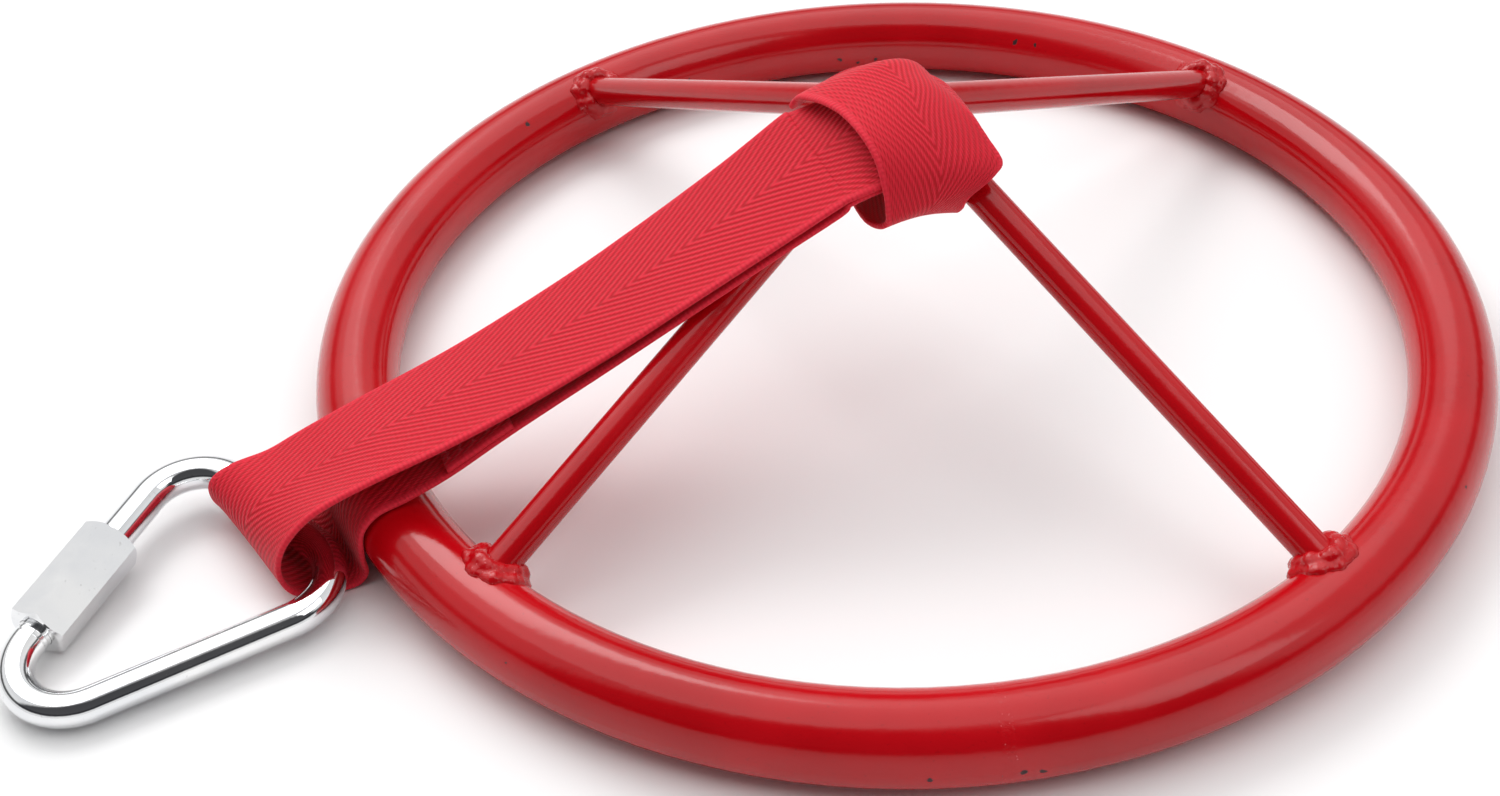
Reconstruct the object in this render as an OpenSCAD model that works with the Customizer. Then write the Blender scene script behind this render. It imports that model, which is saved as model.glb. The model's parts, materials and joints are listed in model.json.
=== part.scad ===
// Hoop swing with a webbing sling and a triangular quick link.
// Units are millimetres. The floor is z = 0 and the hoop's centre is on the z axis.
// The swing lies on the floor: the sling runs over the hoop and the link lies outside it.
// +X is the hoop's right side, +Y is its rear, and the sling leaves to the front left.

/* [Hoop] */
// Radius of the hoop's centre line
hoop_r = 167.5; // [120:0.5:400]
// Outside diameter of the hoop's tube
tube_d = 25; // [16:0.5:42]
// Wall of the hoop's tube
tube_wall = 2; // [1:0.1:4]
// Direction of the butt weld that closes the hoop, degrees
butt_az = 279; // [0:1:360]
// Arc of weld metal in the butt weld, degrees
butt_arc = 1.2; // [0.5:0.1:3]

/* [Spokes] */
// Diameter of each round bar
bar_d = 10; // [6:0.5:16]
// Height of the point where the bars' axes meet
apex_z = 90.5; // [60:0.5:160]
// Offset of that point to the right of the hoop's centre
apex_x = 1; // [0:0.5:3]
// Height of a bar's axis where it reaches the tube
foot_z = 21.5; // [15:0.5:25]
// Distance of that place from the hoop's centre
foot_r = 158; // [140:0.5:165]
// Direction of the front left bar, degrees
az_front_left = 228; // [210:0.5:240]
// Direction of the front right bar, degrees
az_front_right = 314.5; // [300:0.5:330]
// Direction of the rear right bar, degrees
az_rear_right = 47.5; // [30:0.5:60]
// Direction of the rear left bar, degrees
az_rear_left = 132; // [120:0.5:150]
// Radius of the weld metal under the crossing
hub_weld_r = 8.5; // [7:0.1:12]
// Radius of one lump of a rim weld
rim_lump_r = 4.2; // [3:0.1:6]

/* [Webbing] */
// Thickness of one layer of webbing
web_t = 1.6; // [1:0.1:3]
// Direction in which the sling leaves the hitch, degrees
sling_az = 204.5; // [190:0.5:220]
// Direction of the hitch's left side, degrees
hitch_az = 207; // [190:0.5:220]
// Length of one stitch bar along the webbing
stitch_w = 0.8; // [0.4:0.1:1.5]
// Height of the thread over the webbing
stitch_t = 0.4; // [0.2:0.1:0.8]

/* [Quick link] */
// Diameter of the link's wire
wire_d = 10; // [6:1:14]
// Centre-line length of the link from its apex to its base, corners taken as sharp
link_len = 117.2; // [60:0.1:160]
// Half the centre-line width of the base, corners taken as sharp
link_half = 40.5; // [20:0.5:60]
// Centre-line radius of the three bends
bend_r = 16; // [12:0.5:24]
// Position of the link's sharp apex
link_x = -251.2;
link_y = -177.3;
link_z = 4.5;
// Direction from the apex to the base, degrees
link_az = 50.5; // [0:0.5:90]
// Rise of the link from its apex to its base, degrees
link_rise = 2.79; // [0:0.01:10]
// Roll of the link about its long axis, degrees
link_roll = 4.96; // [0:0.01:10]

/* [Nut] */
// Size across the nut's flats
nut_af = 16; // [13:0.5:19]
// Length of the nut
nut_len = 35; // [20:0.5:40]
// Distance of the nut's first end from the apex, along its side
nut_at = 49.5; // [46:0.5:60]
// Radius of the nut's bore
nut_bore_r = 5.08; // [5.02:0.01:5.1]
// Turn of the hexagon about the wire, degrees
nut_turn = 16.7; // [0:0.1:60]
// Start of the gate's gap, from the apex
gap_from = 53; // [48:0.5:60]
// End of the gate's gap, from the apex
gap_to = 65; // [60:0.5:80]

/* [Hidden] */
$fn = 96;
wedge_r = 400;
web_rows = 3;
bend_swell = 0.03;
lap_in = 0.3;
tube_r = tube_d / 2;
bar_r = bar_d / 2;
wire_r = wire_d / 2;
half_angle = atan(link_half / link_len);
side_len = sqrt(link_half * link_half + link_len * link_len);
tip_tangent = bend_r / tan(half_angle);
base_tangent = bend_r / tan(45 - half_angle / 2);
steel_red = [0.70, 0.01, 0.04];
weld_red = [0.62, 0.01, 0.04];
web_red = [0.84, 0.10, 0.20];
web_dark = [0.62, 0.05, 0.12];
thread_red = [0.90, 0.18, 0.26];
zinc = [0.80, 0.81, 0.83];

// ---- Webbing surfaces -------------------------------------------------
// A strip is a list of rows. Each row has three points of the webbing's middle
// surface: near edge, middle and far edge, as [along, across, height].

// Sling: out over the hoop, round the link's base bar, and back under itself.
sling_rows = [
    [[31.5, 22.5, 85.6], [31.5, 0, 86.7], [31.5, -22.5, 87.9]],
    [[50, 22.5, 77.9], [50, 0, 77.6], [50, -22.5, 77.2]],
    [[75, 22.5, 67.6], [75, 0, 66], [75, -22.5, 64.4]],
    [[100, 22.5, 57.3], [100, 0, 55], [100, -22.5, 52.7]],
    [[130, 22.5, 46.9], [130, 0, 43.8], [130, -22.5, 40.7]],
    [[150, 22.5, 41.4], [150, 0, 37.9], [150, -22.5, 34.2]],
    [[168, 22.3, 37.4], [168, 0, 33], [168, -22.3, 29.2]],
    [[182, 22, 33.6], [183, 0, 27.6], [184, -22.2, 24.2]],
    [[191, 22, 29.6], [193, 0, 24.2], [195, -22.2, 20.4]],
    [[198.4, 22, 22.4], [202, 0, 19.8], [205.8, -22.4, 19]],
    [[201.5, 22, 14], [206.6, 0, 13.4], [212.4, -22.5, 15.8]],
    [[199.8, 22.2, 6], [205.8, 0, 6.4], [214, -22.5, 10.6]],
    [[194, 22.4, 1.7], [199.6, 0, 2.2], [211.8, -22.5, 5.2]],
    [[186.5, 22.5, 1.1], [192, 0, 1.5], [203, -22.5, 3]],
    [[181.4, 22.5, 1.5], [185.6, 0, 2.1], [190, -22.5, 2.7]],
    [[178.6, 22.5, 4.6], [182.4, 0, 6.4], [182.8, -22.5, 7]],
    [[178.6, 22.5, 11], [182.2, 0, 12.5], [182.2, -22.5, 12.8]],
    [[177.2, 22.5, 19.3], [180.5, 0, 19.5], [180.5, -22.5, 19.5]],
    [[171.8, 22.5, 24.7], [175.3, 0, 24.7], [175.3, -22.5, 24.7]],
    [[163, 22.5, 26.9], [166.5, 0, 26.8], [166.5, -22.5, 26.7]],
    [[150, 22.5, 31.4], [150, 0, 30], [150, -22.5, 28.8]],
    [[130, 22.5, 40.6], [130, 0, 37.8], [130, -22.5, 35.3]],
    [[100, 22.5, 53.2], [100, 0, 50.9], [100, -22.5, 48.6]],
    [[75, 22.5, 63.9], [75, 0, 62.4], [75, -22.5, 60.8]],
    [[50, 22.5, 74.7], [50, 0, 74.4], [50, -22.5, 74]],
    [[31.5, 22.5, 82.4], [31.5, 0, 83.5], [31.5, -22.5, 84.7]],
];
upper_end = 8;
eye_end = 18;
lap_from = 20;
lap_to = 21;

// Hitch band: from under the crossing at the rear, over it, and under again at the front.
// Here a row runs from the band's left edge to its right edge, as [left, forward, height].
band_rows = [
    [[-3, -3, 70.2], [-10, -3, 69.6], [-17.5, -3, 69.6]],
    [[-2.5, -13, 71], [-10, -13, 70.5], [-18, -12, 70.5]],
    [[-2, -17.6, 76.8], [-9, -17.8, 76], [-18, -16, 75]],
    [[-3, -19.6, 84.4], [-9, -19.6, 83], [-17, -16.8, 79.8]],
    [[11, -17.4, 91.2], [-2, -18.8, 91.2], [-14, -16, 86.2]],
    [[25, -15.4, 87.6], [5, -14.8, 93.2], [-11, -13, 91.4]],
    [[25, -12, 92.4], [3, -11, 97], [-11, -9, 94.8]],
    [[24, -5, 95.6], [1, -4, 100.8], [-10.6, -3, 96.6]],
    [[23, 3, 98.2], [1, 4, 101.4], [-10.6, 5, 96.8]],
    [[22, 12, 99.6], [1, 13, 101], [-11.4, 13, 96.6]],
    [[21.6, 22, 99.2], [3, 22, 98.8], [-13.4, 21, 94.4]],
    [[21, 30, 95.4], [3, 30, 94.6], [-15, 29, 90]],
    [[21, 35, 88.4], [4, 36, 89.4], [-16, 35.4, 86]],
    [[21, 36.8, 82], [6, 37.8, 83.6], [-12, 38, 84.2]],
    [[21, 36.4, 78], [8, 37, 79.6], [-4.4, 38, 80]],
    [[22, 33.4, 75.4], [9, 34, 76], [-3.8, 35.4, 74.8]],
    [[23, 28, 74.2], [9, 29, 73.4], [-3.6, 31, 71.4]],
    [[22, 20, 73], [9, 20, 71.6], [-3.6, 20, 70.4]],
    [[20, 11, 71.8], [9, 11, 70.8], [-3.6, 11, 70.6]],
];
rear_end = 5;
front_start = 13;

// Two layers under the crossing, up on its right side, and over it below the band.
under_rows = [
    [[-6.5, 10, 69.8], [-6.5, 1, 70.6], [-6.5, -8.5, 71]],
    [[-12.6, 10, 70.2], [-13, 1, 71], [-13, -9, 71.5]],
    [[-17.2, 10, 73.4], [-18, 1, 75], [-18, -10, 75.5]],
    [[-18.2, 11, 79.4], [-19.2, 1, 82], [-19.2, -11, 82]],
    [[-16.8, 13, 84.6], [-17, 1, 87.8], [-17, -13.2, 88.6]],
    [[-12, 18, 86.4], [-12, 2, 91.2], [-12, -16.4, 92.6]],
    [[-6, 21, 86.6], [-6, 3, 93.8], [-6, -16, 95.1]],
    [[0, 22.5, 87], [0, 3, 96], [0, -16, 97.6]],
    [[14, 22.5, 87.6], [14, 1, 94.2], [14, -20.5, 90.6]],
    [[28, 22.5, 85.9], [28, 0, 87], [28, -22.5, 87.6]],
];

// Catmull-Rom point between b and c
function spline(a, b, c, d, t) =
    0.5 * (2 * b + (c - a) * t + (2 * a - 5 * b + 4 * c - d) * t * t
    + (3 * b - a - 3 * c + d) * t * t * t);

// Five points across a row of three
function across(r) = [
    r[0],
    (3 * r[0] + 6 * r[1] - r[2]) / 8,
    r[1],
    (3 * r[2] + 6 * r[1] - r[0]) / 8,
    r[2],
];

function clamp(i, n) = min(max(i, 0), n - 1);

// Rows of a strip with web_rows steps between two given rows
function fine(rows) = [
    for (i = [0 : web_rows * (len(rows) - 1)])
        let (k = min(floor(i / web_rows), len(rows) - 2))
        let (t = i / web_rows - k)
        across([
            for (j = [0 : 2])
                spline(rows[clamp(k - 1, len(rows))][j], rows[k][j], rows[k + 1][j],
                    rows[clamp(k + 2, len(rows))][j], t)
        ])
];

function unit(v) = v / norm(v);

// Direction along the strip and normal of the strip, at row i and column j
function along(g, i, j) = g[clamp(i + 1, len(g))][j] - g[clamp(i - 1, len(g))][j];
function over(g, i, j) = g[i][clamp(j + 1, 5)] - g[i][clamp(j - 1, 5)];
function normal(g, i, j) = unit(cross(over(g, i, j), along(g, i, j)));

// Closed strip of thickness t over rows i0 to i1 of grid g, moved by off along its normal
module strip(g, i0, i1, t, off = 0) {
    n = i1 - i0 + 1;
    top = [for (i = [i0 : i1]) for (j = [0 : 4]) g[i][j] + normal(g, i, j) * (off + t / 2)];
    low = [for (i = [i0 : i1]) for (j = [0 : 4]) g[i][j] + normal(g, i, j) * (off - t / 2)];
    m = n * 5;
    skin = [
        for (i = [0 : n - 2]) for (j = [0 : 3])
            let (a = i * 5 + j, b = a + 1, c = a + 6, d = a + 5)
            each [[a, b, c], [a, c, d], [m + a, m + c, m + b], [m + a, m + d, m + c]]
    ];
    sides = [
        for (i = [0 : n - 2])
            let (a = i * 5, b = a + 5, e = a + 4, f = a + 9)
            each [[a, b, m + b], [a, m + b, m + a], [f, e, m + e], [f, m + e, m + f]]
    ];
    ends = [
        for (j = [0 : 3])
            let (a = j, e = m - 5 + j)
            each [[a + 1, a, m + a], [a + 1, m + a, m + a + 1],
                [e, e + 1, m + e + 1], [e, m + e + 1, m + e]]
    ];
    polyhedron(points = concat(top, low), faces = concat(skin, sides, ends));
}

// Thread across row i of grid g, on the side that off points to
module stitch_bar(g, i, off) {
    step = [for (j = [0 : 4]) unit(along(g, i, j)) * stitch_w / 2];
    rows = [
        [for (j = [0 : 4]) g[i][j] * 0.92 + g[i][2] * 0.08 - step[j]],
        [for (j = [0 : 4]) g[i][j] * 0.92 + g[i][2] * 0.08 + step[j]],
    ];
    strip(rows, 0, 1, stitch_t, off);
}

// Sling frame: along the sling from the hitch, across it towards the near side
module sling_frame() {
    translate([5.5, -10.5, 0]) rotate(sling_az) children();
}

module hitch_frame() {
    rotate(hitch_az) children();
}

sling_grid = fine(sling_rows);
band_grid = fine(band_rows);
under_grid = fine(under_rows);

// ---- Hoop ---------------------------------------------------------------

module tube_core(r) {
    rotate_extrude($fn = 180) translate([hoop_r, tube_r]) circle(r);
}

module tube_wall_profile(inner) {
    translate([hoop_r, tube_r]) difference() {
        circle(tube_r);
        circle(inner);
    }
}

module hoop_tube() {
    color(steel_red) rotate(butt_az + butt_arc / 2)
        rotate_extrude(angle = 360 - butt_arc, $fn = 180)
            tube_wall_profile(tube_r - tube_wall);
}

module hoop_butt_weld() {
    color(weld_red) rotate(butt_az - butt_arc / 2)
        rotate_extrude(angle = butt_arc, $fn = 180)
            tube_wall_profile(tube_r - tube_wall - 0.6);
}

// ---- Spokes ---------------------------------------------------------------

// Cylinder of radius r on a bar's axis, from the apex towards az and past the tube
module bar_core(az, r, length) {
    foot = [foot_r * cos(az) - apex_x, foot_r * sin(az), foot_z - apex_z];
    turn = atan2(foot[1], foot[0]);
    tilt = atan2(norm([foot[0], foot[1]]), foot[2]);
    translate([apex_x, 0, apex_z]) rotate([0, tilt, turn])
        translate([0, 0, -10]) rotate(25) cylinder(r = r, h = length + 10);
}

// Sector between two directions, which mitres a bar against its neighbours
module sector(from, to) {
    translate([apex_x, 0, 0]) linear_extrude(160)
        polygon([
            [0, 0],
            wedge_r * [cos(from), sin(from)],
            1.2 * wedge_r * [cos((from + to) / 2), sin((from + to) / 2)],
            wedge_r * [cos(to), sin(to)],
        ]);
}

// Bar with its inner end mitred
module mitred_bar(az, from, to) {
    intersection() {
        bar_core(az, bar_r, 178);
        sector(from, to);
    }
}

module spoke(az, from, to) {
    color(steel_red) difference() {
        mitred_bar(az, from, to);
        tube_core(tube_r);
    }
}

front_cut = (az_front_left + az_front_right) / 2;
right_cut = (az_front_right + az_rear_right + 360) / 2;
rear_cut = (az_rear_right + az_rear_left) / 2;
left_cut = (az_rear_left + az_front_left) / 2;

module spoke_front_left() {
    spoke(az_front_left, left_cut, front_cut);
}

module spoke_front_right() {
    spoke(az_front_right, front_cut, right_cut);
}

module spoke_rear_right() {
    spoke(az_rear_right, right_cut - 360, rear_cut);
}

module spoke_rear_left() {
    spoke(az_rear_left, rear_cut, left_cut);
}

module hub_weld() {
    color(weld_red) difference() {
        translate([apex_x, 0, apex_z - 5]) rotate([0, 0, 20]) sphere(hub_weld_r);
        for (az = [az_front_left, az_front_right, az_rear_right, az_rear_left])
            bar_core(az, bar_r, 40);
    }
}

// Lumps of fillet weld round a bar's foot
module rim_weld(az, seed) {
    lumps = rands(0, 1, 14, seed);
    color(weld_red) difference() {
        translate([foot_r * cos(az), foot_r * sin(az), foot_z]) rotate([0, 0, az])
            for (k = [0 : 6])
                rotate([0, 66, 0]) rotate(k * 360 / 7)
                    translate([5.2 + lumps[k] * 0.8, 0, 2.2 - lumps[k + 7] * 1.2])
                        sphere(rim_lump_r + lumps[k] * 0.5);
        tube_core(tube_r);
        bar_core(az, bar_r, 190);
    }
}

module rim_weld_front_left() {
    rim_weld(az_front_left, 3);
}

module rim_weld_front_right() {
    rim_weld(az_front_right, 5);
}

module rim_weld_rear_right() {
    rim_weld(az_rear_right, 8);
}

module rim_weld_rear_left() {
    rim_weld(az_rear_left, 11);
}

// ---- Hitch ------------------------------------------------------------------

module hitch_band() {
    color(web_red) hitch_frame()
        strip(band_grid, rear_end * web_rows, front_start * web_rows, web_t);
}

module hitch_front_wrap() {
    color(web_red) hitch_frame()
        strip(band_grid, front_start * web_rows, len(band_grid) - 1, web_t);
}

module hitch_rear_wrap() {
    color(web_red) hitch_frame()
        strip(band_grid, 0, rear_end * web_rows, web_t);
}

module hitch_under() {
    color(web_dark) sling_frame()
        strip(under_grid, 0, len(under_grid) - 1, 2 * web_t);
}

// ---- Sling ------------------------------------------------------------------

module sling_upper_leg() {
    color(web_red) sling_frame()
        strip(sling_grid, 0, upper_end * web_rows, web_t);
}

module sling_eye() {
    color(web_red) sling_frame()
        strip(sling_grid, upper_end * web_rows, eye_end * web_rows, web_t);
}

module sling_lower_leg() {
    color(web_dark) sling_frame()
        strip(sling_grid, eye_end * web_rows, len(sling_grid) - 1, web_t);
}

module sling_lap() {
    color(web_red) sling_frame()
        strip(sling_grid, lap_from * web_rows, lap_to * web_rows, web_t, -web_t);
}

module lap_stitching() {
    color(thread_red) sling_frame()
        for (i = [lap_from * web_rows + 1 : lap_to * web_rows - 1])
            stitch_bar(sling_grid, i, -1.5 * web_t - stitch_t / 2 - 0.15);
}

// ---- Quick link ---------------------------------------------------------------

// Link frame: x from the sharp apex to the base, y towards the gate's side
module link_frame() {
    translate([link_x, link_y, link_z]) rotate([link_roll, -link_rise, link_az]) children();
}

// Wire along a straight centre line that starts at p in direction az
module wire(p, az, from, to) {
    translate([p[0], p[1], 0]) rotate(az) translate([from, 0, 0])
        rotate([0, 90, 0]) cylinder(r = wire_r, h = to - from);
}

// Bend with its centre at p, from direction az over arc degrees, swollen a little by the bending
module bend(p, az, arc) {
    translate([p[0], p[1], 0]) rotate(az)
        rotate_extrude(angle = arc) translate([bend_r, 0]) circle(wire_r + bend_swell);
}

// Ring-shaped grooves of the threaded end
module thread_grooves() {
    rotate(half_angle)
        for (k = [0 : 3])
            translate([47 + k * 1.5, 0, 0]) rotate([0, 90, 0])
                rotate_extrude() translate([wire_r, 0]) polygon([[-0.5, 0], [0.3, -0.5], [0.3, 0.5]]);
}

module link_body() {
    base_bend = bend_r / sin(45 - half_angle / 2);
    base_x = link_len - bend_r;
    base_y = link_half - base_tangent;
    color(zinc) link_frame() difference() {
        union() {
            bend([tip_tangent / cos(half_angle), 0], 90 + half_angle, 180 - 2 * half_angle);
            wire([0, 0], -half_angle, tip_tangent - lap_in, side_len - base_tangent + lap_in);
            wire([0, 0], half_angle, tip_tangent - lap_in, gap_from);
            wire([0, 0], half_angle, gap_to, side_len - base_tangent + lap_in);
            wire([link_len, -base_y], 90, -lap_in, 2 * base_y + lap_in);
            bend([base_x, base_y], 0, 90 + half_angle);
            bend([base_x, -base_y], -90 - half_angle, 90 + half_angle);
        }
        thread_grooves();
    }
}

module link_nut() {
    color(zinc) link_frame() rotate(half_angle)
        translate([nut_at, 0, 0]) rotate([nut_turn, 0, 0]) rotate([0, 90, 0])
            difference() {
                intersection() {
                    cylinder(d = nut_af / cos(30), h = nut_len, $fn = 6);
                    rotate_extrude() polygon([
                        [0, 0],
                        [nut_af / 2 - 0.4, 0],
                        [nut_af / 2 + 1.4, 1.1],
                        [nut_af / 2 + 1.4, nut_len - 1.1],
                        [nut_af / 2 - 0.4, nut_len],
                        [0, nut_len],
                    ]);
                }
                translate([0, 0, -1]) cylinder(r = nut_bore_r, h = nut_len + 2);
            }
}

// ---- Assembly -------------------------------------------------------------------

hoop_tube();
hoop_butt_weld();
spoke_front_left();
spoke_front_right();
spoke_rear_right();
spoke_rear_left();
rim_weld_front_left();
rim_weld_front_right();
rim_weld_rear_right();
rim_weld_rear_left();
hub_weld();
hitch_band();
hitch_front_wrap();
hitch_rear_wrap();
hitch_under();
sling_upper_leg();
sling_eye();
sling_lower_leg();
sling_lap();
lap_stitching();
link_body();
link_nut();
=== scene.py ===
import json
import math

import bpy
import numpy as np
from mathutils import Matrix, Vector, noise


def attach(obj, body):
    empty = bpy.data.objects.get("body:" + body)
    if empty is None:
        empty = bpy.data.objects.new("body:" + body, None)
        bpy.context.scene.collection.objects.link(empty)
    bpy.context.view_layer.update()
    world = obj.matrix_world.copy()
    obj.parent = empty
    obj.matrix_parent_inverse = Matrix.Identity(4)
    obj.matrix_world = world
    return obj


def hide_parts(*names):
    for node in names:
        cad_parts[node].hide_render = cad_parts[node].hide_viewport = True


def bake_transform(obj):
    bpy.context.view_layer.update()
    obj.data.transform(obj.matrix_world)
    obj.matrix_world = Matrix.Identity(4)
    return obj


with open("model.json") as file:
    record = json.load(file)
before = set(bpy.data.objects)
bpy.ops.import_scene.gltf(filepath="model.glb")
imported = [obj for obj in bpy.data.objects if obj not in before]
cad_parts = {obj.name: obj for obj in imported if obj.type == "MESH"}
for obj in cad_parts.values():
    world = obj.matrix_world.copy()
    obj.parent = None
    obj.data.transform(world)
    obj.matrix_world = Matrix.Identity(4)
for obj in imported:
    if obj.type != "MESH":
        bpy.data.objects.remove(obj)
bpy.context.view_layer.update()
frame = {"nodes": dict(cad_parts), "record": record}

MM = 0.001
NODES = frame["nodes"]
SLOTS = {}
for part in frame["record"]["subparts"]:
    SLOTS.setdefault(part["material_slot"], []).append(part["node"])

# Sizes in mm, as in the CAD
WEB_T = 1.6
WEB_W = 45.0
HOOP_R = 167.5
TUBE_R = 12.5
BAR_R = 5.0
SLING_AZ = math.radians(204.5)
SLING_AT = Vector((5.5, -10.5, 0.0))
HITCH_AZ = math.radians(207.0)


# ---- Camera -----------------------------------------------------------------

def make_camera():
    el, yaw = math.radians(38.97), math.radians(-4.32)
    pitch, roll = math.radians(-2.52), math.radians(-0.34)
    fwd = Vector((0.0, math.cos(el), -math.sin(el)))
    right = Vector((1.0, 0.0, 0.0))
    up = right.cross(fwd)
    look = math.cos(pitch) * (math.cos(yaw) * fwd + math.sin(yaw) * right) + math.sin(pitch) * up
    look.normalize()
    right = look.cross(up).normalized()
    up = right.cross(look)
    x = math.cos(roll) * right + math.sin(roll) * up
    y = -math.sin(roll) * right + math.cos(roll) * up
    data = bpy.data.cameras.new("camera")
    data.sensor_width = 36.0
    data.sensor_fit = "HORIZONTAL"
    data.lens = 45.636
    data.clip_start = 0.01
    data.clip_end = 50.0
    cam = bpy.data.objects.new("camera", data)
    bpy.context.scene.collection.objects.link(cam)
    cam.matrix_world = Matrix((
        (x[0], y[0], -look[0], 0.0),
        (x[1], y[1], -look[1], -0.466),
        (x[2], y[2], -look[2], 0.3895),
        (0.0, 0.0, 0.0, 1.0),
    ))
    bpy.context.scene.camera = cam


# ---- Node helpers -------------------------------------------------------------

class Net:
    """A material's node tree, built one node at a time."""

    def __init__(self, name):
        self.mat = bpy.data.materials.new(name)
        self.mat.use_nodes = True
        self.tree = self.mat.node_tree
        self.tree.nodes.clear()
        self.out = self.tree.nodes.new("ShaderNodeOutputMaterial")
        self.bsdf = self.tree.nodes.new("ShaderNodeBsdfPrincipled")
        self.tree.links.new(self.bsdf.outputs[0], self.out.inputs["Surface"])

    def feed(self, socket, value):
        """Link another node's output to the socket, or set its value or colour."""
        if isinstance(value, bpy.types.NodeSocket):
            self.tree.links.new(value, socket)
        elif socket.type == "RGBA" and len(value) == 3:
            socket.default_value = (*value, 1.0)
        else:
            socket.default_value = value

    def put(self, kind, inputs=(), **props):
        node = self.tree.nodes.new(kind)
        for key, value in props.items():
            setattr(node, key, value)
        for key, value in dict(inputs).items():
            socket = node.inputs[key]
            self.feed(socket, value)
        return node

    def math(self, op, a, b=0.0, c=0.0):
        node = self.put("ShaderNodeMath", {0: a, 1: b, 2: c}, operation=op)
        return node.outputs[0]

    def step(self, value, lo, hi, out_lo=0.0, out_hi=1.0):
        node = self.put("ShaderNodeMapRange", {0: value, 1: lo, 2: hi, 3: out_lo, 4: out_hi},
                        interpolation_type="SMOOTHSTEP")
        return node.outputs[0]

    def mix(self, factor, a, b):
        node = self.put("ShaderNodeMix", data_type="RGBA")
        for socket, value in ((node.inputs[0], factor), (node.inputs[6], a), (node.inputs[7], b)):
            self.feed(socket, value)
        return node.outputs[2]

    def noise(self, at, scale, detail=3.0, rough=0.5):
        return self.put("ShaderNodeTexNoise", {"Vector": at, "Scale": scale, "Detail": detail,
                                               "Roughness": rough}).outputs["Fac"]

    def bump(self, height, strength, distance):
        return self.put("ShaderNodeBump", {"Height": height, "Strength": strength,
                                           "Distance": distance}).outputs[0]

    def set(self, **values):
        for key, value in values.items():
            self.feed(self.bsdf.inputs[key.replace("_", " ")], value)


# ---- Materials ------------------------------------------------------------------

# Chips in the coat of the hoop: degrees round the hoop, degrees up its section, and radius in mm
CHIPS = [
    (143.5, 128, 0.9), (119.0, 172, 0.8), (97.3, -171, 0.9), (94.8, -162, 0.7), (92.3, -170, 0.8),
    (73.4, 147, 1.0), (70.6, 146, 0.8), (56.1, -165, 0.7), (272.7, -2, 1.0), (278.6, -3, 0.8),
    (280.1, -2, 1.1), (281.5, -6, 0.9), (236.0, 25, 0.5), (12.0, 60, 0.5), (331.0, 40, 0.6),
]


def chip_point(az, up):
    a, e = math.radians(az), math.radians(up)
    r = HOOP_R + TUBE_R * math.cos(e)
    z = TUBE_R + TUBE_R * math.sin(e)
    return (r * math.cos(a) * MM, r * math.sin(a) * MM, z * MM)


def paint(name, lumpy=False, chips=()):
    """Glossy red powder coat with a slight orange peel, lumpy over welds with pale painted glints,
    and dark chips.
    """
    net = Net(name)
    at = net.put("ShaderNodeTexCoord").outputs["Object"]
    broad = net.noise(at, 22.0, 3.0)
    fine = net.noise(at, 900.0, 2.0)
    peel = net.noise(at, 330.0, 2.0)
    colour = net.mix(net.step(broad, 0.3, 0.7), (0.42, 0.0010, 0.004), (0.51, 0.0015, 0.006))
    colour = net.mix(net.step(fine, 0.62, 0.80, 0.0, 0.35), colour, (0.26, 0.001, 0.004))
    rough = net.step(broad, 0.3, 0.75, 0.12, 0.20)
    height = net.math("MULTIPLY", peel, 0.6)
    if lumpy:
        grain = net.noise(at, 520.0, 4.0, 0.65)
        # Pale pink specks over the welds are painted glints, not a colour of the coat.
        painted_glints = net.step(net.noise(at, 1100.0, 2.0), 0.66, 0.74)
        colour = net.mix(net.math("MULTIPLY", painted_glints, 0.5), colour, (0.80, 0.16, 0.18))
        height = net.math("MULTIPLY_ADD", grain, 2.0, height)
    if chips:
        warp = net.put("ShaderNodeTexNoise", {"Vector": at, "Scale": 420.0, "Detail": 3.0})
        shift = net.put("ShaderNodeVectorMath", {0: warp.outputs["Color"], 1: (0.5, 0.5, 0.5)},
                        operation="SUBTRACT").outputs[0]
        moved = net.put("ShaderNodeVectorMath", {0: shift, 1: (0.0030, 0.0030, 0.0030), 2: at},
                        operation="MULTIPLY_ADD").outputs[0]
        mask = None
        for az, up, r in chips:
            gap = net.put("ShaderNodeVectorMath", {0: moved, 1: chip_point(az, up)},
                          operation="DISTANCE").outputs["Value"]
            one = net.step(gap, r * 0.85 * MM, r * 1.05 * MM, 1.0, 0.0)
            mask = one if mask is None else net.math("MAXIMUM", mask, one)
        colour = net.mix(mask, colour, (0.035, 0.006, 0.008))
        rough = net.math("MULTIPLY_ADD", mask, 0.35, rough)
        height = net.math("MULTIPLY_ADD", mask, -1.6, height)
    net.set(Base_Color=colour, Roughness=rough, Normal=net.bump(height, 0.35, 0.00022))
    net.set(Specular_IOR_Level=0.42, Coat_Weight=0.06, Coat_Roughness=0.05, IOR=1.46)
    return net.mat


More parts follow.
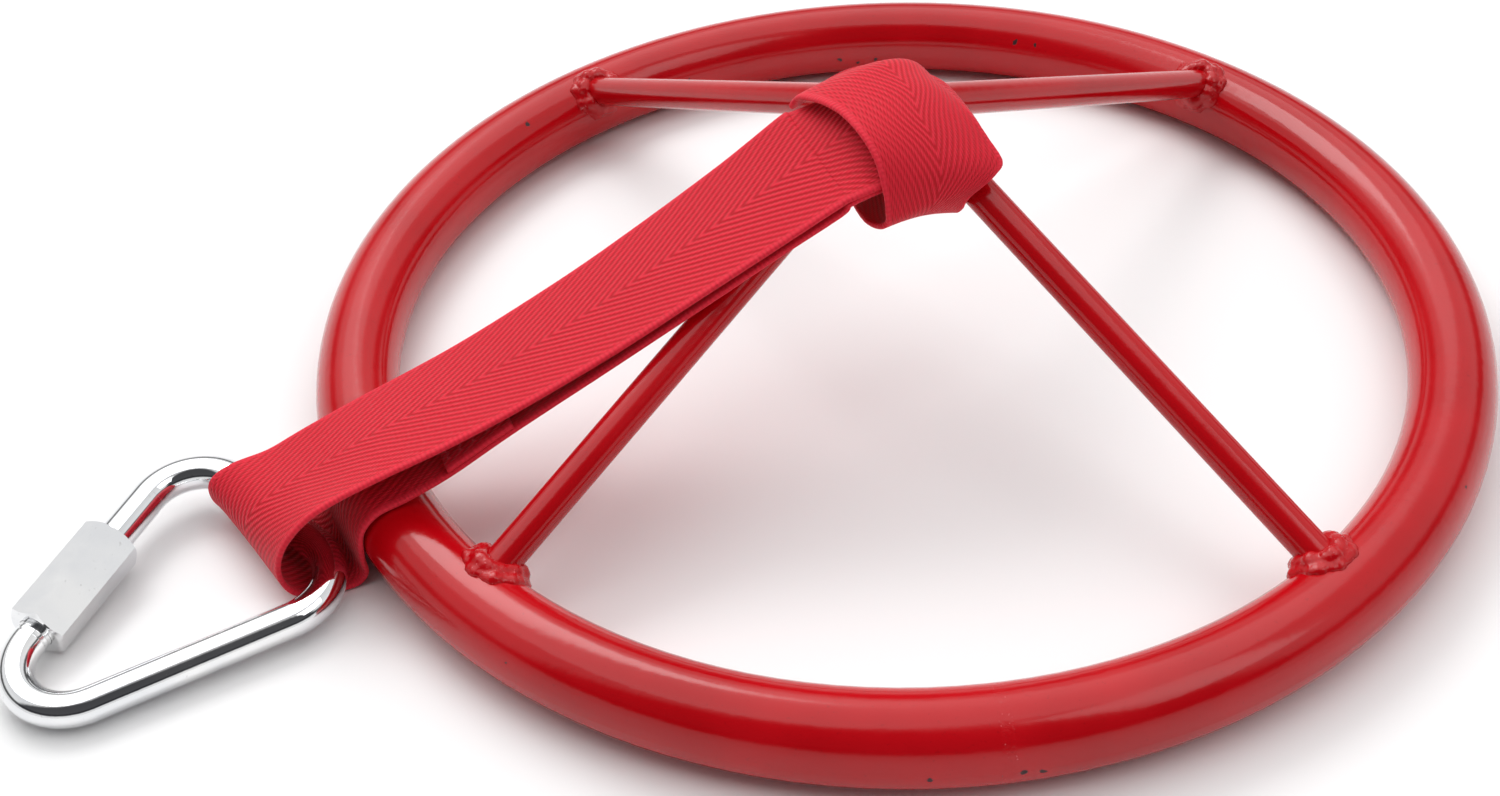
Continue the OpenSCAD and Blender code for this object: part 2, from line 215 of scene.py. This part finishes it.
def webbing():
    """Herringbone webbing: twill ribs at 27 degrees that turn at the middle, between selvedges,
    with painted shade in the grooves and painted highlight on the ribs.
    """
    net = Net("webbing")
    uv = net.put("ShaderNodeTexCoord").outputs["UV"]
    split = net.put("ShaderNodeSeparateXYZ", {0: uv})
    u, v = split.outputs[0], split.outputs[1]
    side = net.math("ABSOLUTE", u)
    fuzz = net.noise(uv, 900.0, 3.0, 0.65)
    drift = net.noise(uv, 70.0, 2.0)
    v = net.math("MULTIPLY_ADD", drift, 0.0012, v)
    lean = net.math("MULTIPLY_ADD", side, 0.887, net.math("MULTIPLY", v, 0.462))
    rib = net.math("SINE", net.math("MULTIPLY", lean, 2 * math.pi / 0.0019))
    rib = net.math("MULTIPLY_ADD", rib, 0.5, 0.5)
    place = net.math("DIVIDE", side, 0.00074)
    column = net.math("FLOOR", place)
    across_yarn = net.math("SINE", net.math("MULTIPLY", net.math("FRACT", place), math.pi))
    turn = net.math("MULTIPLY_ADD", column, 1 / 3, net.math("DIVIDE", v, 0.00412))
    float_up = net.math("COSINE", net.math("MULTIPLY", turn, 2 * math.pi))
    float_up = net.math("MULTIPLY_ADD", float_up, 0.5, 0.5)
    yarn = net.math("MULTIPLY", across_yarn, float_up)
    weave = net.math("ADD", net.math("MULTIPLY", rib, 0.5), net.math("MULTIPLY", yarn, 0.5))
    edge = net.step(side, 0.0200, 0.0212)
    coarse = net.math("SINE", net.math("MULTIPLY", v, 2 * math.pi / 0.0014))
    coarse = net.math("MULTIPLY_ADD", coarse, 0.12, net.math("MULTIPLY", fuzz, 0.9))
    height = net.math("ADD", net.math("MULTIPLY", weave, net.math("SUBTRACT", 1.0, edge)),
                      net.math("MULTIPLY", coarse, edge))
    height = net.math("MULTIPLY_ADD", fuzz, 0.22, height)
    # Colour follows the weave's height: painted shade in the grooves and painted highlight on the
    # ribs.
    colour = net.mix(net.step(height, 0.15, 0.95), (0.48, 0.001, 0.009), (0.80, 0.016, 0.042))
    colour = net.mix(net.math("MULTIPLY", edge, 0.45), colour, (0.82, 0.028, 0.058))
    colour = net.mix(net.step(net.noise(uv, 26.0, 3.0), 0.45, 0.75, 0.0, 0.2), colour,
                     (0.58, 0.004, 0.018))
    rough = net.step(fuzz, 0.3, 0.7, 0.58, 0.80)
    net.set(Base_Color=colour, Roughness=rough, Normal=net.bump(height, 0.8, 0.0004))
    net.set(Specular_IOR_Level=0.28, Sheen_Weight=0.10, Sheen_Roughness=0.35)
    return net.mat


def thread():
    """Twisted polyester thread, with painted shade between its plies and painted highlight on them.
    """
    net = Net("thread")
    at = net.put("ShaderNodeTexCoord").outputs["Object"]
    twist = net.put("ShaderNodeTexWave", {"Vector": at, "Scale": 900.0, "Distortion": 1.0},
                    bands_direction="DIAGONAL").outputs["Fac"]
    # Darker between the twisted plies and lighter on them: painted shade and painted highlight.
    colour = net.mix(twist, (0.42, 0.006, 0.02), (0.86, 0.04, 0.08))
    net.set(Base_Color=colour, Roughness=0.7, Normal=net.bump(twist, 0.5, 0.0001))
    net.set(Sheen_Weight=0.2)
    return net.mat


def zinc():
    """Bright plating with faint drawing lines and a few dull marks."""
    net = Net("zinc_plate")
    at = net.put("ShaderNodeTexCoord").outputs["Object"]
    haze = net.noise(at, 45.0, 4.0)
    marks = net.noise(at, 700.0, 3.0)
    colour = net.mix(net.step(haze, 0.35, 0.7), (0.80, 0.81, 0.83), (0.90, 0.90, 0.90))
    colour = net.mix(net.step(marks, 0.66, 0.80, 0.0, 0.35), colour, (0.45, 0.44, 0.43))
    rough = net.step(haze, 0.35, 0.75, 0.045, 0.12)
    net.set(Base_Color=colour, Roughness=rough, Normal=net.bump(marks, 0.12, 0.0001))
    net.set(Metallic=1.0)
    return net.mat


# ---- Webbing surfaces --------------------------------------------------------------
# A row has three points across the webbing. The rows are those of the CAD strips, in mm.

SLING_ROWS = np.array([
    [[31.5, 22.5, 85.6], [31.5, 0, 86.7], [31.5, -22.5, 87.9]],
    [[50, 22.5, 77.9], [50, 0, 77.6], [50, -22.5, 77.2]],
    [[75, 22.5, 67.6], [75, 0, 66], [75, -22.5, 64.4]],
    [[100, 22.5, 57.3], [100, 0, 55], [100, -22.5, 52.7]],
    [[130, 22.5, 46.9], [130, 0, 43.8], [130, -22.5, 40.7]],
    [[150, 22.5, 41.4], [150, 0, 37.9], [150, -22.5, 34.2]],
    [[168, 22.3, 37.4], [168, 0, 33], [168, -22.3, 29.2]],
    [[182, 22, 33.6], [183, 0, 27.6], [184, -22.2, 24.2]],
    [[191, 22, 29.6], [193, 0, 24.2], [195, -22.2, 20.4]],
    [[198.4, 22, 22.4], [202, 0, 19.8], [205.8, -22.4, 19]],
    [[201.5, 22, 14], [206.6, 0, 13.4], [212.4, -22.5, 15.8]],
    [[199.8, 22.2, 6], [205.8, 0, 6.4], [214, -22.5, 10.6]],
    [[194, 22.4, 1.7], [199.6, 0, 2.2], [211.8, -22.5, 5.2]],
    [[186.5, 22.5, 1.1], [192, 0, 1.5], [203, -22.5, 3]],
    [[181.4, 22.5, 1.5], [185.6, 0, 2.1], [190, -22.5, 2.7]],
    [[178.6, 22.5, 4.6], [182.4, 0, 6.4], [182.8, -22.5, 7]],
    [[178.6, 22.5, 11], [182.2, 0, 12.5], [182.2, -22.5, 12.8]],
    [[177.2, 22.5, 19.3], [180.5, 0, 19.5], [180.5, -22.5, 19.5]],
    [[171.8, 22.5, 24.7], [175.3, 0, 24.7], [175.3, -22.5, 24.7]],
    [[163, 22.5, 26.9], [166.5, 0, 26.8], [166.5, -22.5, 26.7]],
    [[150, 22.5, 31.4], [150, 0, 30], [150, -22.5, 28.8]],
    [[130, 22.5, 40.6], [130, 0, 37.8], [130, -22.5, 35.3]],
    [[100, 22.5, 53.2], [100, 0, 50.9], [100, -22.5, 48.6]],
    [[75, 22.5, 63.9], [75, 0, 62.4], [75, -22.5, 60.8]],
    [[50, 22.5, 74.7], [50, 0, 74.4], [50, -22.5, 74]],
    [[31.5, 22.5, 82.4], [31.5, 0, 83.5], [31.5, -22.5, 84.7]],
], float)
LAP_FROM, LAP_TO = 20, 21

BAND_ROWS = np.array([
    [[-3, -3, 70.2], [-10, -3, 69.6], [-17.5, -3, 69.6]],
    [[-2.5, -13, 71], [-10, -13, 70.5], [-18, -12, 70.5]],
    [[-2, -17.6, 76.8], [-9, -17.8, 76], [-18, -16, 75]],
    [[-3, -19.6, 84.4], [-9, -19.6, 83], [-17, -16.8, 79.8]],
    [[11, -17.4, 91.2], [-2, -18.8, 91.2], [-14, -16, 86.2]],
    [[25, -15.4, 87.6], [5, -14.8, 93.2], [-11, -13, 91.4]],
    [[25, -12, 92.4], [3, -11, 97], [-11, -9, 94.8]],
    [[24, -5, 95.6], [1, -4, 100.8], [-10.6, -3, 96.6]],
    [[23, 3, 98.2], [1, 4, 101.4], [-10.6, 5, 96.8]],
    [[22, 12, 99.6], [1, 13, 101], [-11.4, 13, 96.6]],
    [[21.6, 22, 99.2], [3, 22, 98.8], [-13.4, 21, 94.4]],
    [[21, 30, 95.4], [3, 30, 94.6], [-15, 29, 90]],
    [[21, 35, 88.4], [4, 36, 89.4], [-16, 35.4, 86]],
    [[21, 36.8, 82], [6, 37.8, 83.6], [-12, 38, 84.2]],
    [[21, 36.4, 78], [8, 37, 79.6], [-4.4, 38, 80]],
    [[22, 33.4, 75.4], [9, 34, 76], [-3.8, 35.4, 74.8]],
    [[23, 28, 74.2], [9, 29, 73.4], [-3.6, 31, 71.4]],
    [[22, 20, 73], [9, 20, 71.6], [-3.6, 20, 70.4]],
    [[20, 11, 71.8], [9, 11, 70.8], [-3.6, 11, 70.6]],
], float)

UNDER_ROWS = np.array([
    [[-6.5, 10, 69.8], [-6.5, 1, 70.6], [-6.5, -8.5, 71]],
    [[-12.6, 10, 70.2], [-13, 1, 71], [-13, -9, 71.5]],
    [[-17.2, 10, 73.4], [-18, 1, 75], [-18, -10, 75.5]],
    [[-18.2, 11, 79.4], [-19.2, 1, 82], [-19.2, -11, 82]],
    [[-16.8, 13, 84.6], [-17, 1, 87.8], [-17, -13.2, 88.6]],
    [[-12, 18, 86.4], [-12, 2, 91.2], [-12, -16.4, 92.6]],
    [[-6, 21, 86.6], [-6, 3, 93.8], [-6, -16, 95.1]],
    [[0, 22.5, 87], [0, 3, 96], [0, -16, 97.6]],
    [[14, 22.5, 87.6], [14, 1, 94.2], [14, -20.5, 90.6]],
    [[28, 22.5, 85.9], [28, 0, 87], [28, -22.5, 87.6]],
], float)


def turned(points, az, at=Vector((0, 0, 0))):
    """Points in mm of a frame turned by az, in the model's frame."""
    c, s = math.cos(az), math.sin(az)
    x, y = points[..., 0], points[..., 1]
    return np.stack([at[0] + x * c - y * s, at[1] + x * s + y * c, points[..., 2]], -1)


def across(row, f):
    """Points at the fractions f on the quadratic through a row's three points."""
    f = np.asarray(f)[:, None]
    return (row[0] * 2 * (f - 0.5) * (f - 1) - row[1] * 4 * f * (f - 1)
            + row[2] * 2 * f * (f - 0.5))


def fine(rows, k, f):
    """Grid of points: Catmull-Rom along the rows with k steps between two, and f across."""
    last = len(rows) - 1
    grid = []
    for i in range(k * last + 1):
        q = min(i // k, last - 1)
        t = i / k - q
        a, b, c, d = (rows[min(max(j, 0), last)] for j in (q - 1, q, q + 1, q + 2))
        row = 0.5 * (2 * b + (c - a) * t + (2 * a - 5 * b + 4 * c - d) * t * t
                     + (3 * b - a - 3 * c + d) * t ** 3)
        grid.append(across(row, f))
    return np.array(grid)


def normals(grid):
    """Unit normals of a grid, on the webbing's outer side."""
    n, m = grid.shape[:2]
    i, j = np.arange(n), np.arange(m)
    along = grid[np.minimum(i + 1, n - 1)] - grid[np.maximum(i - 1, 0)]
    over = grid[:, np.minimum(j + 1, m - 1)] - grid[:, np.maximum(j - 1, 0)]
    up = np.cross(over, along)
    return up / np.linalg.norm(up, axis=2, keepdims=True)


# Places across the webbing, closer together at its selvedges
EDGE = [0.0, 0.0035, 0.009, 0.017, 0.03, 0.05, 0.085]
FRACTIONS = np.array(EDGE + list(np.linspace(0.13, 0.87, 13)) + [1 - e for e in reversed(EDGE)])


def section(f):
    """Half the thickness of the webbing at f across it, as a part of its half thickness."""
    e = np.minimum(f, 1 - f) * WEB_W / (WEB_T / 2)
    round_edge = np.sqrt(np.clip(1 - (1 - np.minimum(e, 1)) ** 2, 0, 1))
    return np.maximum(round_edge, 0.0)


def add_object(name, mesh, material):
    """Smooth-shaded object of a mesh, in the scene."""
    obj = bpy.data.objects.new(name, mesh)
    bpy.context.scene.collection.objects.link(obj)
    mesh.materials.append(material)
    mesh.shade_smooth()
    return obj


FRAY = 0.09       # how far a selvedge wanders, mm
FRAY_COLUMNS = 5  # how many columns wander with it


def strap(name, grid, material, off=0.0, v0=0.0):
    """Closed webbing over a grid in mm, moved off along its normal, and its length in metres.

    Its UVs are its width and length in metres, and v0 is where along the weave it starts, in mm."""
    n, m = grid.shape[:2]
    up = normals(grid)
    half = section(FRACTIONS) * WEB_T / 2
    mid = grid[:, m // 2]
    run = v0 + np.concatenate([[0], np.cumsum(np.linalg.norm(np.diff(mid, axis=0), axis=1))])
    over = grid[:, 1:] - grid[:, :-1]
    side = np.concatenate([over[:, :1], over], axis=1)
    side /= np.linalg.norm(side, axis=2, keepdims=True)
    verts = []
    for i in range(n):
        wave = FRAY * noise.noise(Vector((run[i] * 0.9, 3.1, off)))
        other = FRAY * noise.noise(Vector((run[i] * 0.9, 9.7, off)))
        over_and_back = [(j, half[j]) for j in range(m)]
        over_and_back += [(j, -half[j]) for j in range(m - 2, 0, -1)]
        for j, lift in over_and_back:
            shift = wave * max(0.0, 1 - j / FRAY_COLUMNS)
            shift += other * max(0.0, 1 - (m - 1 - j) / FRAY_COLUMNS)
            verts.append(grid[i, j] + up[i, j] * (off + lift) + side[i, j] * shift)
    ring = 2 * m - 2
    faces = []
    for i in range(n - 1):
        for j in range(ring):
            a, b = i * ring + j, i * ring + (j + 1) % ring
            faces.append((a, b, b + ring, a + ring))
    faces.append(tuple(range(ring - 1, -1, -1)))
    faces.append(tuple(range((n - 1) * ring, n * ring)))
    mesh = bpy.data.meshes.new(name)
    mesh.from_pydata([tuple(v * MM) for v in verts], [], faces)
    columns = [(f - 0.5) * WEB_W for f in FRACTIONS]
    columns += [columns[j] for j in range(m - 2, 0, -1)]
    layer = mesh.uv_layers.new(name="weave")
    for loop in mesh.loops:
        i, j = divmod(loop.vertex_index, ring)
        layer.data[loop.index].uv = (columns[j] * MM, run[i] * MM)
    mesh.validate()
    mesh.update()
    obj = add_object(name, mesh, material)
    return obj, float(run[-1] - v0) * MM


def offset_rows(rows, off):
    """Rows moved off along the strip's normal."""
    return rows + normals(rows) * off


# ---- Webbing pieces ------------------------------------------------------------------

def make_sling(web):
    """Both legs, the eye and the two layers under the crossing, as one unbroken piece."""
    outer = offset_rows(UNDER_ROWS, WEB_T / 2)
    inner = offset_rows(UNDER_ROWS, -WEB_T / 2)[::-1]
    rows = np.concatenate([outer, SLING_ROWS, inner])
    grid = turned(fine(rows, 9, FRACTIONS), SLING_AZ, SLING_AT)
    obj, length = strap("sling_webbing", grid, web)
    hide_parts("sling_upper_leg", "sling_eye", "sling_lower_leg", "hitch_under")
    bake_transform(obj)


def make_hitch(web):
    """The band over the legs, with its ends under the crossing."""
    grid = turned(fine(BAND_ROWS, 12, FRACTIONS), HITCH_AZ)
    obj, length = strap("hitch_webbing", grid, web, v0=511.0)
    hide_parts("hitch_band", "hitch_front_wrap", "hitch_rear_wrap")
    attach(obj, "hoop")


def make_lap(web, yarn):
    """The overlap where the sling is sewn into a loop, and its rows of stitches."""
    span = SLING_ROWS[LAP_FROM - 2:LAP_TO + 3]
    grid = turned(fine(span, 14, FRACTIONS), SLING_AZ, SLING_AT)[28:43]
    lap, length = strap("lap_webbing", grid, web, off=-WEB_T, v0=903.0)
    up = -normals(grid)
    verts, faces = [], []
    columns = np.linspace(0.08, 0.92, 30)
    for line in (1.5, 4.5, 7.5, 10.5, 12.8):
        for k in range(len(columns) - 1):
            lean = 0.35 if k % 2 else -0.35
            ends = []
            for f, di in ((columns[k], -lean), (columns[k + 1] - 0.006, lean)):
                i = line + di
                i0 = int(i)
                j = np.interp(f, FRACTIONS, np.arange(len(FRACTIONS)))
                j0 = min(int(j), len(FRACTIONS) - 2)
                a = grid[i0, j0] * (1 - j + j0) + grid[i0, j0 + 1] * (j - j0)
                b = grid[i0 + 1, j0] * (1 - j + j0) + grid[i0 + 1, j0 + 1] * (j - j0)
                ends.append(a * (1 - i + i0) + b * (i - i0) + up[i0, j0] * (1.5 * WEB_T))
            p, q = ends
            n0 = up[int(line), len(FRACTIONS) // 2]
            axis = (q - p) / np.linalg.norm(q - p)
            wide = np.cross(axis, n0)
            base = len(verts)
            for t in range(6):
                s = t / 5
                bulge = 0.30 * math.sin(math.pi * min(max(s, 0.06), 0.94)) ** 0.5
                c = p + (q - p) * s + n0 * (bulge * 0.5 - 0.05)
                for a in range(6):
                    w = a * math.pi / 3
                    verts.append(c + (wide * math.cos(w) + n0 * math.sin(w)) * bulge)
            for t in range(5):
                for a in range(6):
                    o, b = base + t * 6 + a, base + t * 6 + (a + 1) % 6
                    faces.append((o, b, b + 6, o + 6))
            faces.append(tuple(base + a for a in range(5, -1, -1)))
            faces.append(tuple(base + 30 + a for a in range(6)))
    mesh = bpy.data.meshes.new("lap_thread")
    mesh.from_pydata([tuple(v * MM) for v in verts], [], faces)
    mesh.update()
    stitches = add_object("lap_thread", mesh, yarn)
    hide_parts("sling_lap")
    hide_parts("lap_stitching")
    for piece, slot in ((lap, "webbing"), (stitches, "thread")):
        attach(piece, "sling")


# ---- Welds -------------------------------------------------------------------------------

APEX = Vector((1.0, 0.0, 90.5))
FOOT_R, FOOT_Z = 158.0, 21.5
NEAR, FAR = 120.0, 185.0  # a bar meets the tube between these distances from the apex
AROUND = 28               # beads round a bar's foot
BARS = {"front_left": 228.0, "front_right": 314.5, "rear_right": 47.5, "rear_left": 132.0}


def torus_gap(p):
    """Distance from a point in mm to the tube's surface."""
    return math.hypot(math.hypot(p[0], p[1]) - HOOP_R, p[2] - TUBE_R) - TUBE_R


def torus_way(p):
    """Direction straight out of the tube at a point in mm."""
    r = math.hypot(p[0], p[1])
    way = Vector(((r - HOOP_R) * p[0] / r, (r - HOOP_R) * p[1] / r, p[2] - TUBE_R))
    return way.normalized()


def weld_loop(az):
    """Closed curve where a bar meets the tube, as points and ways out, and the bar's direction."""
    a = math.radians(az)
    foot = Vector((FOOT_R * math.cos(a), FOOT_R * math.sin(a), FOOT_Z))
    axis = (foot - APEX).normalized()
    side = axis.cross(Vector((0, 0, 1))).normalized()
    rise = side.cross(axis)
    loop = []
    for k in range(AROUND):
        w = k * 2 * math.pi / AROUND
        out = side * math.cos(w) + rise * math.sin(w)
        lo, hi = NEAR, FAR
        for _ in range(40):
            mid = (lo + hi) / 2
            if torus_gap(APEX + axis * mid + out * BAR_R) > 0:
                lo = mid
            else:
                hi = mid
            if torus_gap(APEX + axis * hi + out * BAR_R) > 0 and hi == FAR:
                hi = 172.0
        loop.append((APEX + axis * lo + out * BAR_R, out))
    return loop, axis


def ball(verts, faces, at, r):
    """Add a faceted ball, in mm, to lists of vertices in metres and faces."""
    base = len(verts)
    rings, around = 7, 10
    for i in range(rings + 1):
        e = -math.pi / 2 + math.pi * i / rings
        for k in range(around):
            w = 2 * math.pi * k / around
            verts.append((at + Vector((math.cos(e) * math.cos(w), math.cos(e) * math.sin(w),
                                       math.sin(e))) * r) * MM)
    for i in range(rings):
        for k in range(around):
            a, b = base + i * around + k, base + i * around + (k + 1) % around
            faces.append((a, b, b + around, a + around))
    faces.append(tuple(base + k for k in range(around - 1, -1, -1)))
    faces.append(tuple(base + rings * around + k for k in range(around)))


def make_weld(name, az, seed, material):
    """Lumpy fillet weld round a bar's foot: beads on the bar and on the tube, merged."""
    loop, axis = weld_loop(az)
    verts, faces = [], []
    for k, (p, out) in enumerate(loop):
        jitter = noise.noise(Vector((seed * 7.3, k * 1.7, 0.5)))
        ripple = 0.5 + 0.5 * math.cos(k * 2 * math.pi / 3.5 + seed)
        r = 2.3 + 0.6 * ripple + 0.9 * jitter
        ball(verts, faces, p + out * (0.5 + 0.5 * jitter) - axis * (1.1 + 0.8 * jitter), r)
        wide = p + out * (2.6 + 0.9 * ripple)
        for _ in range(3):
            wide = wide - Vector(torus_way(wide)) * (torus_gap(wide) + 0.6)
        ball(verts, faces, wide, 2.0 + 0.5 * ripple - 0.5 * jitter)
    mesh = bpy.data.meshes.new(name + "_raw")
    mesh.from_pydata([tuple(v) for v in verts], [], faces)
    raw = bpy.data.objects.new(name + "_raw", mesh)
    bpy.context.scene.collection.objects.link(raw)
    remesh = raw.modifiers.new("remesh", "REMESH")
    remesh.mode = "VOXEL"
    remesh.voxel_size = 0.00055
    smooth = raw.modifiers.new("smooth", "SMOOTH")
    smooth.factor = 0.5
    smooth.iterations = 5
    graph = bpy.context.evaluated_depsgraph_get()
    made = bpy.data.meshes.new_from_object(raw.evaluated_get(graph))
    bpy.data.objects.remove(raw)
    for v in made.vertices:
        p = v.co * 1000
        v.co += v.normal * (0.00016 * noise.noise(p * 0.9) + 0.00008 * noise.noise(p * 2.3))
    made.materials.clear()
    bead = add_object(name, made, material)
    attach(bead, "hoop")
    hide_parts("rim_weld_" + name.removeprefix("weld_bead_"))


# ---- Floor and light -----------------------------------------------------------------------

def make_floor():
    mesh = bpy.data.meshes.new("floor")
    mesh.from_pydata([(-6, -4, 0), (6, -4, 0), (6, 8, 0), (-6, 8, 0)], [], [(0, 1, 2, 3)])
    net = Net("floor")
    at = net.put("ShaderNodeTexCoord").outputs["Object"]
    tone = net.step(net.noise(at, 3.0, 2.0), 0.3, 0.7)
    net.set(Base_Color=net.mix(tone, (0.90, 0.90, 0.90), (0.93, 0.93, 0.93)), Roughness=0.85)
    net.set(Specular_IOR_Level=0.1)
    floor = add_object("floor", mesh, net.mat)
    floor.location.z = -0.0001


def add_light(name, at, aim, size, power):
    """Soft box of a size in metres and a power in watts, turned to aim."""
    data = bpy.data.lights.new(name, "AREA")
    data.shape = "RECTANGLE"
    data.size, data.size_y = size
    data.energy = power
    lamp = bpy.data.objects.new(name, data)
    bpy.context.scene.collection.objects.link(lamp)
    lamp.location = at
    lamp.rotation_euler = (Vector(aim) - Vector(at)).to_track_quat("-Z", "Y").to_euler()


def make_light():
    """A white room with darker bands, for the bright metal to mirror, and two soft boxes."""
    world = bpy.data.worlds.new("studio")
    bpy.context.scene.world = world
    world.use_nodes = True
    tree = world.node_tree
    tree.nodes.clear()
    out = tree.nodes.new("ShaderNodeOutputWorld")
    back = tree.nodes.new("ShaderNodeBackground")
    at = tree.nodes.new("ShaderNodeTexCoord")
    split = tree.nodes.new("ShaderNodeSeparateXYZ")
    ramp = tree.nodes.new("ShaderNodeValToRGB")
    both = tree.nodes.new("ShaderNodeMath")
    both.operation = "MULTIPLY"
    dim = tree.nodes.new("ShaderNodeMix")
    dim.data_type = "RGBA"
    tree.links.new(at.outputs["Generated"], split.inputs[0])
    for k, (source, limits) in enumerate(((1, (-0.28, -0.46, 0.0, 1.0)),
                                          (2, (0.20, 0.28, 0.0, 0.95)))):
        band = tree.nodes.new("ShaderNodeMapRange")
        band.interpolation_type = "SMOOTHSTEP"
        for socket, value in enumerate(limits, 1):
            band.inputs[socket].default_value = value
        tree.links.new(split.outputs[source], band.inputs[0])
        tree.links.new(band.outputs[0], both.inputs[k])
    tree.links.new(split.outputs[2], ramp.inputs[0])
    tree.links.new(both.outputs[0], dim.inputs[0])
    tree.links.new(ramp.outputs[0], dim.inputs[6])
    dim.inputs[7].default_value = (0.03, 0.03, 0.035, 1)
    tree.links.new(dim.outputs[2], back.inputs["Color"])
    tree.links.new(back.outputs[0], out.inputs["Surface"])
    stops = ramp.color_ramp
    stops.elements[0].position = 0.0
    stops.elements[0].color = (0.9, 0.9, 0.9, 1)
    stops.elements[1].position = 1.0
    stops.elements[1].color = (0.45, 0.45, 0.46, 1)
    for place, tone in ((0.15, 0.85), (0.22, 0.10), (0.33, 0.12), (0.42, 0.95), (0.82, 0.80)):
        stop = stops.elements.new(place)
        stop.color = (tone, tone, tone, 1)
    back.inputs["Strength"].default_value = 0.95
    add_light("key", (-0.55, 0.75, 1.2), (0, 0, 0.03), (0.9, 0.5), 6.0)
    add_light("fill", (0.9, -0.5, 1.3), (0, 0, 0.03), (0.8, 0.8), 3.5)
    sky = bpy.data.lights.new("sky", "SUN")
    sky.energy = 1.35
    sky.angle = math.radians(75)
    lamp = bpy.data.objects.new("sky", sky)
    lamp.rotation_euler = (math.radians(-18), math.radians(-10), 0.0)
    bpy.context.scene.collection.objects.link(lamp)
    bpy.context.scene.view_settings.view_transform = "Standard"


# ---- The model -----------------------------------------------------------------------------

def main():
    """Build the scene round the frame."""
    make_camera()
    make_floor()
    make_light()
    coat = paint("powder_coat", chips=CHIPS)
    bead = paint("painted_weld", lumpy=True)
    web = webbing()
    yarn = thread()
    plate = zinc()
    for slot, material in (("powder_coat", coat), ("painted_weld", bead), ("webbing", web),
                           ("thread", yarn), ("zinc_plate", plate)):
        for node in SLOTS.get(slot, []):
            mesh = NODES[node].data
            if mesh.materials:
                for k in range(len(mesh.materials)):
                    NODES[node].material_slots[k].material = material
            else:
                mesh.materials.append(material)
    make_sling(web)
    make_hitch(web)
    make_lap(web, yarn)
    for k, (place, az) in enumerate(BARS.items()):
        make_weld("weld_bead_" + place, az, k + 1, bead)


main()
